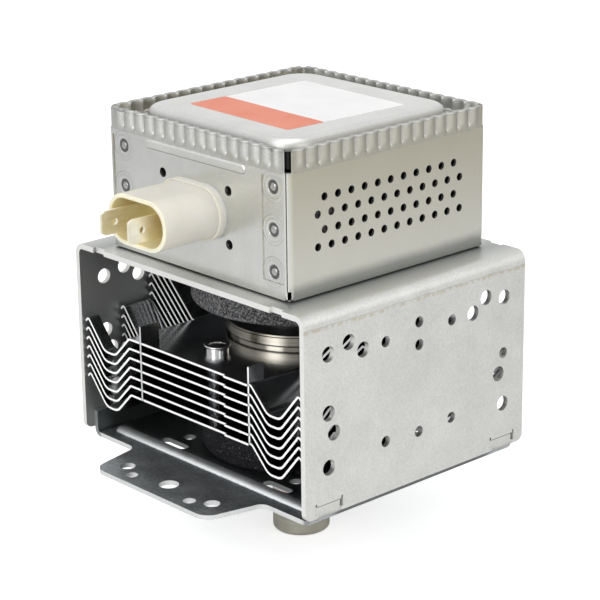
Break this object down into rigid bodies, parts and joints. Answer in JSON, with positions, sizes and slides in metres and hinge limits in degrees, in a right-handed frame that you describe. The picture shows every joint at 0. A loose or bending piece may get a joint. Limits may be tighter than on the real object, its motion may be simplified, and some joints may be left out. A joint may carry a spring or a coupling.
{
  "type": "cooker magnetron",
  "caption": "Finned microwave generator tube between ring magnets in an open steel yoke, with a perforated filter box on top, a two-blade connector, a mounting flange and an antenna cap below.",
  "frame": {"origin": "middle of the mounting face under the base plate, on the axis of the tube", "axes": "+Z along the tube's axis towards the filter box, -Y towards the connector side, +X towards a closed side wall"},
  "size_m": [0.092, 0.1163, 0.1219],
  "materials": {
    "zinc_steel": "satin zinc-plated sheet steel",
    "box_steel": "bright zinc-plated thin sheet, crimped",
    "fin_aluminium": "rolled aluminium with bright cut edges",
    "ferrite": "matt black sintered ferrite, finely speckled",
    "copper": "bare oxygen-free copper",
    "soft_iron": "plated soft iron",
    "seal_steel": "bright drawn steel shell",
    "alumina": "glazed alumina ceramic",
    "tungsten": "dull drawn tungsten and molybdenum",
    "cap_steel": "drawn steel cap with a tan heat tint",
    "wire_mesh": "knitted wire mesh ring",
    "cream_plastic": "cream moulded polyester with a soft sheen",
    "dielectric": "fired brown ceramic",
    "tinned_brass": "tinned brass blade",
    "enamelled_wire": "enamelled copper wire",
    "label_paper": "plain coated paper with one coral field"
  },
  "bodies": {
    "root": {"yoke_frame": "zinc_steel", "base_plate": "zinc_steel", "upper_magnet": "ferrite", "lower_magnet": "ferrite", "cooling_fin_1": "fin_aluminium", "cooling_fin_2": "fin_aluminium", "cooling_fin_3": "fin_aluminium", "cooling_fin_4": "fin_aluminium", "cooling_fin_5": "fin_aluminium", "cooling_fin_6": "fin_aluminium", "cooling_fin_7": "fin_aluminium", "anode_block": "copper", "upper_strap_ring": "copper", "lower_strap_ring": "copper", "upper_pole_piece": "soft_iron", "lower_pole_piece": "soft_iron", "filament_seal": "seal_steel", "antenna_seal": "seal_steel", "stem_ceramic": "alumina", "antenna_ceramic": "alumina", "left_stem_terminal": "soft_iron", "right_stem_terminal": "soft_iron", "filament_coil": "tungsten", "upper_end_shield": "tungsten", "lower_end_shield": "tungsten", "centre_lead": "tungsten", "side_lead": "tungsten", "antenna_lead": "copper", "exhaust_tube": "copper", "antenna_cap": "cap_steel", "mesh_gasket": "wire_mesh", "filter_box": "box_steel", "filter_lid": "box_steel", "paper_label": "label_paper", "capacitor_case": "cream_plastic", "capacitor_ground_plate": "box_steel", "capacitor_ceramic": "dielectric", "capacitor_inner_case": "cream_plastic", "left_terminal_tab": "tinned_brass", "right_terminal_tab": "tinned_brass", "left_choke_coil": "enamelled_wire", "right_choke_coil": "enamelled_wire", "left_choke_core": "ferrite", "right_choke_core": "ferrite"}
  },
  "joints": []
}
